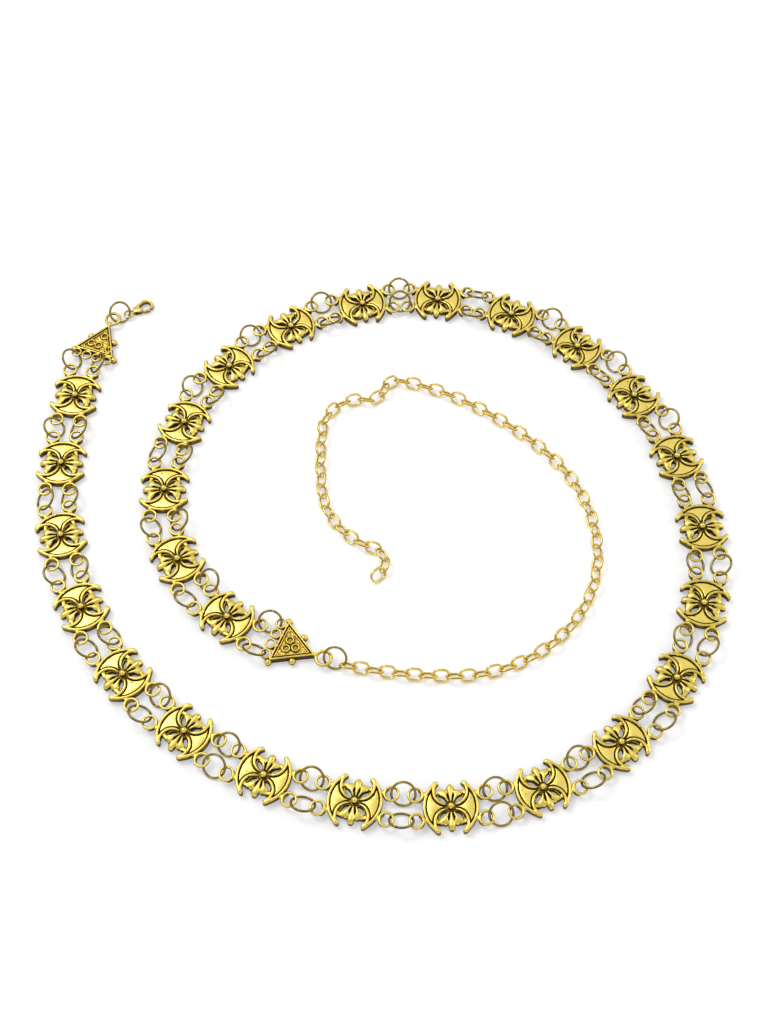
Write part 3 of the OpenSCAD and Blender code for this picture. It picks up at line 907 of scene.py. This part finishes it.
@dataclass
class Plaque:
    """A cast plaque: two crescent blades, four curling arms, six petals, a bead and four loops."""

    layout: Layout
    ground_z: float = 1.85
    ground_foot: float = 0.06
    field_z: float = 2.85
    field_foot: float = 0.5
    field_bevel: float = 0.22
    rim_half: float = 0.55
    arm_x: float = 1.1
    arm_y: float = 5.5
    arm_r: float = 4.7
    arm_span: tuple = (-85.0, 40.0)
    arm_half: float = 0.56
    groove: float = 0.34
    bead_r: float = 1.22
    bead_z: float = 3.45
    pit_z: float = 1.9
    web_foot: float = 0.2
    web_z: float = 1.7
    shoulder_z: float = 2.75
    almond_turn: float = 46.0
    almond_reach: float = 4.1
    almond_l: float = 4.2
    almond_w: float = 1.6
    petal_turn: float = 26.0
    petal_span: tuple = (1.75, 8.3)
    petal_halves: tuple = (0.24, 0.34, 0.5, 0.74, 1.02, 1.22, 1.28, 1.16, 0.7)
    petal_tops: tuple = (3.1, 3.25, 3.35, 3.4, 3.4, 3.4, 3.35, 3.15, 2.6)
    short_span: tuple = (1.85, 6.75)
    short_halves: tuple = (0.22, 0.32, 0.4, 0.52, 1.0, 1.5, 1.62, 1.2)
    short_tops: tuple = (2.9, 3.15, 3.3, 3.35, 3.3, 3.2, 3.05, 2.7)
    horn_places: tuple = (6.9, 7.5, 8.1, 8.55, 8.9, 9.1)
    horn_halves: tuple = (0.5, 0.74, 0.86, 0.86, 0.78, 0.5)
    horn_tops: tuple = (3.2, 3.36, 3.4, 3.36, 3.25, 2.9)
    rim_halves: tuple = (0.3, 0.5, 0.56, 0.56, 0.55, 0.55)
    rim_tops: tuple = (2.7, 3.2, 3.38, 3.4, 3.4, 3.4)
    arm_halves: tuple = (0.26, 0.44, 0.54, 0.56, 0.56, 0.56, 0.56)
    arm_tops: tuple = (2.9, 3.3, 3.4, 3.4, 3.4, 3.4, 3.3)
    skirt_span: tuple = (118.0, 242.0)
    skirt_z: float = 1.9
    voxel: float = 0.115
    triangles: int = 21000

    def _blade_outline(self, crest_r: float, arm_r: float) -> list[Vector]:
        """The outline of the +X blade's field.

        Args:
            crest_r: The radius of its outer edge.
            arm_r: The radius of the arcs that bound it towards the arms.

        Returns:
            Its corners in order.
        """
        gap = math.hypot(self.arm_x - self.layout.crest_x, self.arm_y)
        lean = math.degrees(math.atan2(self.arm_y, self.arm_x - self.layout.crest_x))
        near = (gap**2 + crest_r**2 - arm_r**2) / (2 * gap * crest_r)
        top = lean - math.degrees(math.acos(near))
        meet = arc(self.layout.crest_x, 0.0, crest_r, top, top, 1)[0][0]
        end = math.degrees(math.atan2(meet.y - self.arm_y, meet.x - self.arm_x))
        start = -90.0 + math.degrees(math.acos(min(1.0, self.arm_y / arm_r)))
        upper = [p for p, _ in arc(self.arm_x, self.arm_y, arm_r, start, end, 20)]
        outer = [p for p, _ in arc(self.layout.crest_x, 0.0, crest_r, top, -top, 30)]
        lower = [Vector((p.x, -p.y, 0.0)) for p in reversed(upper)]
        if arm_r > self.arm_y:
            lower.pop()
        return upper + outer[1:-1] + lower

    def _blades(self, forge: Forge) -> None:
        """The sunk ground of both blades with the crowned field on it."""
        for sx in (1, -1):
            ground = self._blade_outline(self.layout.crest_r - 0.4, self.arm_r + 0.2)
            crown_r = self.layout.crest_r - 2 * self.rim_half - self.groove
            crown = self._blade_outline(crown_r, self.arm_r + self.arm_half + self.groove)
            low, high = self.ground_foot, self.ground_z
            forge.slab([Vector((sx * p.x, p.y, 0.0)) for p in ground], low, high)
            low, high = self.field_foot, self.field_z
            forge.slab([Vector((sx * p.x, p.y, 0.0)) for p in crown], low, high, self.field_bevel)

    def _rims(self, forge: Forge) -> None:
        """The round ridge along each blade's outer edge, thick at its tips."""
        r = self.layout.crest_r - self.rim_half
        reach = math.degrees(math.asin((self.layout.plaque_w / 2 - 0.05) / r))
        path = arc(self.layout.crest_x, 0.0, r, -reach, reach, 48)
        for sx in (1, -1):
            forge.ridge(path, self.rim_halves, self.rim_tops, (sx, 1), ends=5.0)

    def _arm(self, forge: Forge, sx: int, sy: int) -> None:
        """One arm, from beside the bead to a tip."""
        path = arc(self.arm_x, self.arm_y, self.arm_r, *self.arm_span, 30)
        forge.ridge(path, self.arm_halves, self.arm_tops, (sx, sy))

    def _horn(self, forge: Forge, sx: int, sy: int) -> None:
        """The broad flat tip where a rim and an arm meet."""
        path = []
        for step in range(13):
            y = blend(self.horn_places, step / 12)
            outer = self.layout.crest_x + math.sqrt(self.layout.crest_r**2 - y * y)
            inner = self.arm_x + math.sqrt((self.arm_r - self.arm_half) ** 2 - (y - self.arm_y) ** 2)
            path.append((Vector(((outer + inner) / 2, y, 0.0)), Vector((-y / self.layout.crest_r, 0.9, 0.0))))
        forge.ridge(path, self.horn_halves, self.horn_tops, (sx, sy), dome=0.4)

    def _almond(self, forge: Forge, sx: int, sy: int) -> None:
        """The thin wall round one pierced almond."""
        w, l = self.almond_w / 2 + 0.16, self.almond_l / 2 + 0.22
        r = (l * l + w * w) / (2 * w)
        open_angle = math.degrees(math.asin(l / r))
        turn = Matrix.Rotation(math.radians(self.almond_turn), 3, "Z")
        stations = []
        for side in (1, -1):
            path = arc(0.0, -side * (r - w), r, side * (90 + open_angle), side * (90 - open_angle), 16)
            if side < 0:
                path = list(reversed([(p, -a) for p, a in path]))
            for point, ahead in path[1:-1]:
                place = turn @ (point + Vector((self.almond_reach, 0.0, 0.0)))
                way = turn @ ahead
                way = Vector((way.x * sx, way.y * sy, 0.0))
                stations.append(standing(sx * place.x, sy * place.y, way, 0.22, 2.2))
        forge.bar(stations, 12, closed=True)

    def _petal(
        self, forge: Forge, turn: float, span: tuple, halves: tuple, tops: tuple, dome: float
    ) -> None:
        """One petal.

        Args:
            forge: Where it is built.
            turn: Its bearing from the middle, in degrees.
            span: Where it starts and ends, out from the middle.
            halves: Half its width along its length.
            tops: The height of its ridge along its length.
            dome: How high its rounded top may be.
        """
        angle = math.radians(turn)
        ahead = Vector((math.cos(angle), math.sin(angle), 0.0))
        near, far = span
        path = [(ahead * (near + (far - near) * (step / 24)), ahead) for step in range(25)]
        forge.ridge(path, halves, tops, crest=0.15, dome=dome)

    def _web(self, forge: Forge, sy: int) -> None:
        """The thin ground between the petals and the almonds."""
        half = [(0.0, 0.9), (1.3, 1.55), (1.9, 2.9), (2.7, 4.1), (3.6, 4.75), (3.0, 5.4), (1.6, 5.7)]
        outline = [*half, (0.0, 6.2), *((-x, y) for x, y in reversed(half[1:]))]
        forge.slab([Vector((x, sy * y, 0.0)) for x, y in outline], self.web_foot, self.web_z)

    def _shoulder(self, forge: Forge, sx: int, sy: int) -> None:
        """The flat that joins a side petal to an arm past the almond's point."""
        near = [(4.35, 4.75), (4.95, 4.35), (5.4, 4.9), (5.4, 5.7), (4.6, 5.95), (3.6, 6.2)]
        outline = [*near, (2.8, 6.1), (2.7, 5.2), (3.6, 4.95)]
        corners = [Vector((sx * x, sy * y, 0.0)) for x, y in outline]
        forge.slab(corners, self.web_foot, self.shoulder_z, 0.2)

    def _loop(self, forge: Forge, sx: int, sy: int) -> None:
        """One cast loop on its short neck."""
        layout = self.layout
        wire = layout.loop_wire / 2
        x, y = sx * layout.loop_x, sy * layout.loop_y
        forge.ring(x, y, layout.loop_z, layout.loop_r, wire, wire, wire, 0.7, 1.6, -sx, 0.3)
        skirt = []
        for point, ahead in arc(0.0, 0.0, layout.loop_r - 0.1, *self.skirt_span, 24):
            half = 0.1 + wire * min(1.0, 0.2 - point.x / layout.loop_r)
            place = Vector((sx * (layout.loop_x + point.x), y + point.y, self.skirt_z))
            skirt.append(Station(place, Vector((sx * ahead.x, ahead.y, 0.0)), half, 0.6, 1.2, 0.7))
        forge.bar(skirt, 16)
        neck = (
            (layout.crest_at_loop - 0.9, 1.2),
            (layout.crest_at_loop - 0.1, 0.85),
            (layout.loop_x - layout.loop_r + 0.1, 0.8),
        )
        z = layout.loop_z - 0.05
        forge.bar([Station(Vector((sx * x, y, z)), AHEAD, half, 0.4, 0.55, 0.8) for x, half in neck])

    def build(self) -> bpy.types.Mesh:
        """Casts the plaque and writes its patina, wear, painted wall shade and painted ridge highlight.

        Returns:
            Its mesh, in its own frame.
        """
        forge = Forge()
        self._blades(forge)
        self._rims(forge)
        for sy in (1, -1):
            self._web(forge, sy)
            self._petal(forge, sy * 90.0, self.petal_span, self.petal_halves, self.petal_tops, 0.8)
            for sx in (1, -1):
                self._arm(forge, sx, sy)
                self._horn(forge, sx, sy)
                self._almond(forge, sx, sy)
                self._shoulder(forge, sx, sy)
                self._loop(forge, sx, sy)
                turn = sy * (90.0 + sx * self.petal_turn)
                self._petal(forge, turn, self.short_span, self.short_halves, self.short_tops, 0.6)
        forge.post(0.0, 0.0, 0.1, self.pit_z, 2.3, 2.2)
        forge.post(0.0, 0.0, 0.5, self.bead_z, self.bead_r * 0.8, self.bead_r * 0.9)
        forge.ball(0.0, 0.0, self.bead_z, self.bead_r)
        mesh = cast(forge.mesh("plaque"), self.voxel, self.triangles)
        weather_and_shade(mesh)
        return mesh


@dataclass
class EndPlate:
    """A triangular plate: a double border, a grained field, ring ornaments, balls and small rings."""

    layout: Layout
    ornaments: tuple
    seed: int
    ground_z: float = 2.55
    border_z: float = 3.4
    border_half: float = 0.42
    line_inset: float = 1.42
    line_half: float = 0.25
    line_rise: float = 0.55
    ball_d: float = 2.8
    base_r: float = 1.75
    base_half: float = 0.42
    ornament_r: float = 1.32
    grain_tries: int = 2600
    grain_gap: float = 0.66
    grain_sizes: tuple = (0.2, 0.36)
    voxel: float = 0.1
    triangles: int = 46000

    def __post_init__(self) -> None:
        """Works out the triangle's height."""
        self.height = self.layout.plate_side * math.sqrt(3) / 2

    def _corners(self, inset: float) -> list[Vector]:
        """The triangle's corners, moved in by inset."""
        half = self.layout.plate_side / 2 - inset * math.sqrt(3)
        places = ((inset, -half), (self.height - 2 * inset, 0.0), (inset, half))
        return [Vector((x, y, 0.0)) for x, y in places]

    def _frame(
        self, forge: Forge, inset: float, half: float, top: float, foot: float, bend: float
    ) -> None:
        """A ridge along the triangle's edge.

        Args:
            forge: Where it is built.
            inset: How far in the ridge's middle runs.
            half: Half its width.
            top: The height of its ridge.
            foot: The height of its underside.
            bend: The radius of its corners.
        """
        stations = []
        centres = self._corners(inset + bend)
        for index, centre in enumerate(centres):
            start = (150.0, -90.0, 30.0)[index]
            for point, ahead in arc(centre.x, centre.y, bend, start, start + 120.0, 8):
                stations.append(standing(point.x, point.y, ahead, half, top, foot))
        forge.bar(stations, 16, closed=True)

    def _grains(self, forge: Forge) -> None:
        """Grains scattered over the field, clear of the ornaments."""
        rng = np.random.default_rng(self.seed)
        inset = self.line_inset + 0.75
        taken: list[Vector] = []
        for _ in range(self.grain_tries):
            x = rng.uniform(inset, self.height - 2 * inset)
            y = rng.uniform(-self.layout.plate_side / 2, self.layout.plate_side / 2)
            room = (self.height - 2 * inset - x) / math.sqrt(3)
            point = Vector((x, y, 0.0))
            if abs(y) > room or any((point - other).length < self.grain_gap for other in taken):
                continue
            if any(math.hypot(x - ox, y - oy) < self.ornament_r + 0.55 for ox, oy in self.ornaments):
                continue
            taken.append(point)
            forge.ball(x, y, self.ground_z + 0.02, rng.uniform(*self.grain_sizes), 1.0, 1)

    def _ornament(self, forge: Forge, x: float, y: float) -> None:
        """One small ring with a grain in it."""
        forge.ring(x, y, self.ground_z + 0.15, self.ornament_r, 0.4, 0.66, 0.4)
        forge.ball(x, y, self.ground_z, 0.24, 1.0, 2)

    def build(self) -> bpy.types.Mesh:
        """Casts the plate and writes its patina, wear, painted wall shade and painted ridge highlight.

        Returns:
            Its mesh, in its own frame.
        """
        layout = self.layout
        forge = Forge()
        forge.slab(self._corners(0.1), 0.06, self.ground_z)
        self._frame(forge, self.border_half, self.border_half, self.border_z, 0.06, 0.25)
        self._frame(forge, self.line_inset, self.line_half, self.ground_z + self.line_rise, 1.0, 0.2)
        for corner in self._corners(2.15):
            forge.ball(corner.x, corner.y, self.ground_z + 0.1, 0.5, 0.9, 2)
        for x, y in self.ornaments:
            self._ornament(forge, x, y)
        self._grains(forge)
        r = self.ball_d / 2
        for side in (1, -1):
            forge.ball(0.0, side * layout.plate_side / 2, r + 0.12, r)
            forge.ball(self.height / 2 + r / 4, side * (layout.plate_side / 4 + r / 2), r + 0.12, r)
        for index in range(layout.base_rings):
            y = ((layout.base_rings - 1) / 2 - index) * layout.base_pitch
            place = (layout.base_x, y, layout.loop_z, self.base_r)
            forge.ring(*place, self.base_half, 0.46, 0.5, deeper=1.7, edge=0.2)
            self._neck(forge, -0.5, 0.9, y, 0.5)
        tip = layout.tip_wire / 2
        r = (layout.tip_hole + layout.tip_wire) / 2
        forge.ring(layout.tip_x, 0.0, layout.loop_z, r, tip, 0.52, 0.56)
        self._neck(forge, self.height - 1.6, self.height + 0.5, 0.0, 0.7)
        forge.ball(self.height - 0.2, 0.0, layout.loop_z + 0.1, 0.95, 0.85, 2)
        mesh = cast(forge.mesh("end_plate"), self.voxel, self.triangles, 2)
        weather_and_shade(mesh)
        return mesh

    def _neck(self, forge: Forge, start: float, end: float, y: float, half: float) -> None:
        """A short bar along X that holds a ring."""
        z = self.layout.loop_z
        forge.bar([Station(Vector((x, y, z)), AHEAD, half, 0.36, 0.4) for x in (start, end)])


@dataclass
class JumpRing:
    """A ring of round wire, cut once and closed."""

    r: float
    wire: float
    cut: float = 0.12
    steps: int = 46

    def build(self) -> bpy.types.Mesh:
        """Bends the wire.

        Returns:
            The ring's mesh, flat about its own middle, with the cut on +Y.
        """
        forge = Forge()
        open_angle = math.degrees(self.cut / self.r) / 2
        stations = []
        for point, ahead in arc(0.0, 0.0, self.r, 90.0 + open_angle, 450.0 - open_angle, self.steps):
            stations.append(Station(point, ahead, self.wire / 2, self.wire / 2, self.wire / 2, 1.0))
        forge.bar(stations, 12)
        mesh = forge.mesh("jump_ring")
        # Painted shade darkens the sides of the wire; wear and a painted highlight brighten its top and
        # underside.
        weather_and_shade(mesh, 1.5, sheer=0.8, lies_flat=False)
        return mesh


@dataclass
class Clasp:
    """A lever clasp in its own frame: the eye's middle is the origin and the nose lies along +X."""

    layout: Layout
    thick: float = 2.6
    hook_x: float = 7.9
    hook_r: float = 2.5
    wall: float = 0.64
    eye_r: float = 1.8
    pivot: tuple = (3.8, -0.35)
    lever_nose: tuple = (8.2, -2.65)
    lever_t: float = 1.1

    def _hook(self, forge: Forge) -> None:
        """The spine and the hook, as one bent bar that thins towards the eye."""
        middle = self.thick / 2
        ahead = Vector((0.92, 0.39, 0.0))
        rows = [
            (Vector((x, y, 0.0)), ahead, half, tall)
            for x, y, half, tall in (
                (2.75, 0.9, 0.42, 1.2),
                (3.6, 1.15, 0.52, 1.22),
                (4.8, 1.56, 0.64, 1.22),
                (5.9, 1.95, 0.74, 1.22),
            )
        ]
        path = arc(self.hook_x, 0.0, self.hook_r, 112.0, -58.0, 26)
        for index, (point, way) in enumerate(path):
            tall = blend((1.22, 1.22, 1.2, 1.1), index / 26)
            rows.append((point, way, blend((0.76, 0.8, 0.8, 0.74, 0.6), index / 26), tall))
        last, way = path[-1]
        for step, share in ((0.22, 0.85), (0.4, 0.5)):
            rows.append((last + way * step, way, 0.6 * share, 1.1 * share))
        forge.bar(
            [Station(Vector((p.x, p.y, middle)), way, half, tall, tall, 0.8) for p, way, half, tall in rows]
        )

    def _cheeks(self, forge: Forge) -> None:
        """The two cheeks that hold the lever, and the block before the eye."""
        cheek = ((2.5, 0.1, 1.2), (3.2, 0.05, 1.42), (4.2, 0.0, 1.72), (4.9, 0.0, 1.86), (5.2, 0.0, 1.8))
        for z, rise, drop in ((2.32, 0.28, 0.24), (0.28, 0.24, 0.24)):
            forge.bar([Station(Vector((x, y, z)), AHEAD, half, rise, drop, 0.5) for x, y, half in cheek])
        block = (
            (1.7, 0.5, 1.75, 0.45, 0.45),
            (2.05, 0.8, 1.6, 0.8, 1.1),
            (2.4, 1.1, 1.4, 1.15, 1.25),
            (2.75, 1.25, 1.35, 1.2, 1.28),
        )
        forge.bar(
            [Station(Vector((x, 0.0, z)), AHEAD, half, rise, drop, 0.7) for x, half, z, rise, drop in block]
        )
        forge.ball(self.pivot[0], self.pivot[1], 2.5, 0.42, 0.5)

    def build_body(self) -> bpy.types.Mesh:
        """Casts the clasp's body and writes its patina, wear, painted wall shade and painted ridge highlight.

        Returns:
            Its mesh, in the clasp's frame.
        """
        forge = Forge()
        self._hook(forge)
        self._cheeks(forge)
        wire = self.layout.eye_wire / 2
        forge.ring(0.0, 0.0, self.layout.eye_z, self.eye_r, wire, wire, wire)
        mesh = cast(forge.mesh("clasp_body"), 0.075, 30000, 5)
        weather_and_shade(mesh, 1.8)
        return mesh

    def build_lever(self) -> bpy.types.Mesh:
        """Casts the sprung lever and writes its patina, wear, painted wall shade and painted ridge highlight.

        Returns:
            Its mesh, in the clasp's frame.
        """
        forge = Forge()
        start, end = Vector((*self.pivot, self.thick / 2)), Vector((*self.lever_nose, self.thick / 2))
        ahead = (end - start).normalized()
        side = UP.cross(ahead)
        tall = self.lever_t / 2
        length = (end - start).length
        outline = (
            (-0.5, 0.34, 0.0),
            (-0.25, 0.52, 0.0),
            (0.4, 0.6, 0.0),
            (1.9, 0.62, 0.0),
            (2.4, 0.62, 0.3),
            (0.75 * length, 0.6, 0.4),
            (length, 0.5, 0.3),
            (length + 0.3, 0.4, 0.1),
            (length + 0.46, 0.2, 0.0),
        )
        stations = []
        for along, half, extra in outline:
            stations.append(Station(start + ahead * along, ahead, half, tall + extra, tall + extra, 0.55))
        forge.bar(stations)
        root = start + ahead * (length * 0.62)
        thumb = ((0.2, 0.5), (0.75, 0.42), (1.05, 0.3), (1.15, 0.12))
        forge.bar([Station(root - side * out, -side, half, tall, tall, 0.6) for out, half in thumb])
        mesh = cast(forge.mesh("clasp_lever"), 0.06, 9000, 4)
        weather_and_shade(mesh, 1.2)
        return mesh


@dataclass
class ChainLink:
    """An oval link of round wire, its seam soldered."""

    layout: Layout

    def build(self) -> bpy.types.Mesh:
        """Bends the wire.

        Returns:
            The link's mesh, flat about its own middle.
        """
        layout = self.layout
        r, half = (layout.link_w - layout.link_wire) / 2, layout.link_wire / 2
        run = (layout.link_l - layout.link_w) / 2
        path = [*arc(run, 0.0, r, -90.0, 90.0, 14), *arc(-run, 0.0, r, 90.0, 270.0, 14)]
        forge = Forge()
        forge.bar([Station(point, ahead, half, half, half, 1.0) for point, ahead in path], 12, True)
        mesh = forge.mesh("link")
        # Painted shade darkens the sides of the wire; wear and a painted highlight brighten its top and
        # underside.
        weather_and_shade(mesh, 1.5, sheer=0.6, lies_flat=False)
        return mesh


@dataclass
class Studio:
    """Pale paper, soft light and a camera at the photograph's angle."""

    eye: tuple = (23.58, -300.73, 523.8)
    aim: tuple = (23.58, 8.37, 3.4)
    lens: float = 55.45
    shift: tuple = (-0.054, -0.0026)

    def floor(self) -> None:
        """Lays the paper."""
        bm = bmesh.new()
        bmesh.ops.create_grid(bm, x_segments=1, y_segments=1, size=4.0)
        bmesh.ops.translate(bm, verts=bm.verts[:], vec=Vector((0.0, 0.0, -0.00002)))
        mesh = bpy.data.meshes.new("paper")
        bm.to_mesh(mesh)
        bm.free()
        mesh.materials.append(PalePaper().make())
        paper = bpy.data.objects.new("paper", mesh)
        bpy.context.scene.collection.objects.link(paper)
        paper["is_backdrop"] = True

    def light(self, name: str, place: tuple, size: tuple, power: float) -> None:
        """Hangs one softbox that faces the chain.

        Args:
            name: The light's name.
            place: Where it hangs, in metres.
            size: Its width and height, in metres.
            power: Its power, in watts.
        """
        lamp = bpy.data.lights.new(name, "AREA")
        lamp.shape = "RECTANGLE"
        lamp.size, lamp.size_y = size
        lamp.energy = power
        holder = bpy.data.objects.new(name, lamp)
        holder.location = place
        holder.rotation_euler = (-Vector(place)).to_track_quat("-Z", "Y").to_euler()
        bpy.context.scene.collection.objects.link(holder)

    def lights(self) -> None:
        """Hangs the softboxes and sets the room's dim light."""
        self.light("ceiling", (0.0, 0.62, 1.0), (2.2, 1.1), 2.2)
        self.light("key", (-0.45, 0.3, 0.9), (0.4, 0.4), 3.2)
        self.light("side", (0.95, 0.15, 0.5), (0.3, 0.8), 1.8)
        self.light("front", (0.1, -1.1, 0.3), (1.4, 0.2), 0.7)
        world = bpy.data.worlds.new("room")
        world.use_nodes = True
        backdrop = world.node_tree.nodes["Background"]
        backdrop.inputs["Color"].default_value = (1.0, 1.0, 1.0, 1.0)
        backdrop.inputs["Strength"].default_value = 0.58
        bpy.context.scene.world = world
        bpy.context.scene.view_settings.view_transform = "Standard"

    def camera(self) -> None:
        """Sets the camera up."""
        data = bpy.data.cameras.new("camera")
        data.lens = self.lens
        data.sensor_width = 36.0
        data.shift_x, data.shift_y = self.shift
        data.clip_start, data.clip_end = 0.01, 20.0
        camera = bpy.data.objects.new("camera", data)
        eye, aim = Vector(self.eye) * MM, Vector(self.aim) * MM
        camera.location = eye
        camera.rotation_euler = (aim - eye).to_track_quat("-Z", "Y").to_euler()
        bpy.context.scene.collection.objects.link(camera)
        bpy.context.scene.camera = camera


@dataclass
class WaistChain:
    """The whole chain."""

    layout: Layout

    def plaques(self) -> None:
        """Makes one plaque and lays a copy at each place of the belt."""
        master = Plaque(self.layout).build()
        gold = PLAQUE_GOLD.make()
        for index, pose in enumerate(self.layout.plaques, 1):
            place_piece(f"plaque_{index:02d}", master, [pose.matrix()], gold)
        bpy.data.meshes.remove(master)

    def plates(self) -> None:
        """Makes both end plates, which differ in their ornaments."""
        gold = PLATE_GOLD.make()
        near = EndPlate(self.layout, ((4.1, -0.3), (4.3, 3.0), (8.9, -0.7), (3.3, -5.2)), 11)
        far = EndPlate(self.layout, ((3.9, -1.8), (3.9, 1.8), (7.1, -0.2)), 23)
        for node, plate, pose in (
            ("clasp_end_plate", near, self.layout.clasp_plate),
            ("chain_end_plate", far, self.layout.chain_plate),
        ):
            place_piece(node, plate.build(), [pose.matrix()], gold)

    def rings(self) -> None:
        """Hangs the jump rings of both rows and the two end rings."""
        layout = self.layout
        gold = RING_GOLD.make()
        wire = JumpRing(layout.ring_r, layout.ring_wire).build()
        rng = np.random.default_rng(5)
        for node, side in (("outer_jump_rings", -1), ("inner_jump_rings", 1)):
            places = [
                place @ Matrix.Rotation(math.radians(rng.uniform(0.0, 360.0)), 4, "Z")
                for place in layout.row_matrices(side)
            ]
            place_piece(node, wire, places, gold)
        wire = JumpRing(layout.end_ring_r, layout.ring_wire).build()
        place_piece("clasp_ring", wire, [layout.clasp_ring_matrix()], gold)
        place_piece("extension_ring", wire, [layout.chain_ring_matrix()], gold)

    def clasp(self) -> None:
        """Makes the clasp's body and its lever."""
        gold = CLASP_GOLD.make()
        clasp = Clasp(self.layout)
        place = self.layout.clasp.matrix()
        place_piece("clasp_body", clasp.build_body(), [place], gold)
        place_piece("clasp_lever", clasp.build_lever(), [place], gold, Body.LEVER)

    def extension(self) -> None:
        """Lays both halves of the extension chain."""
        gold = LINK_GOLD.make()
        link = ChainLink(self.layout).build()
        places = [self.layout.link_matrix(index) for index in range(len(self.layout.links))]
        split = self.layout.near_links
        place_piece("extension_chain_near", link, places[:split], gold)
        place_piece("extension_chain_far", link, places[split:], gold)

    def build(self) -> None:
        """Builds every sub-assembly in order."""
        for make in (self.plaques, self.plates, self.rings, self.clasp, self.extension):
            make()


def corners() -> list[list[float]]:
    """The lowest and highest corner of what shows."""
    return [list(corner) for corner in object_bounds()]


def main() -> None:
    """Builds the chain and its studio."""
    logging.basicConfig(level=logging.INFO, format="%(name)s: %(message)s")
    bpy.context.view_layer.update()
    WaistChain(Layout()).build()
    studio = Studio()
    studio.floor()
    studio.lights()
    studio.camera()


if __name__ == "__main__":
    main()
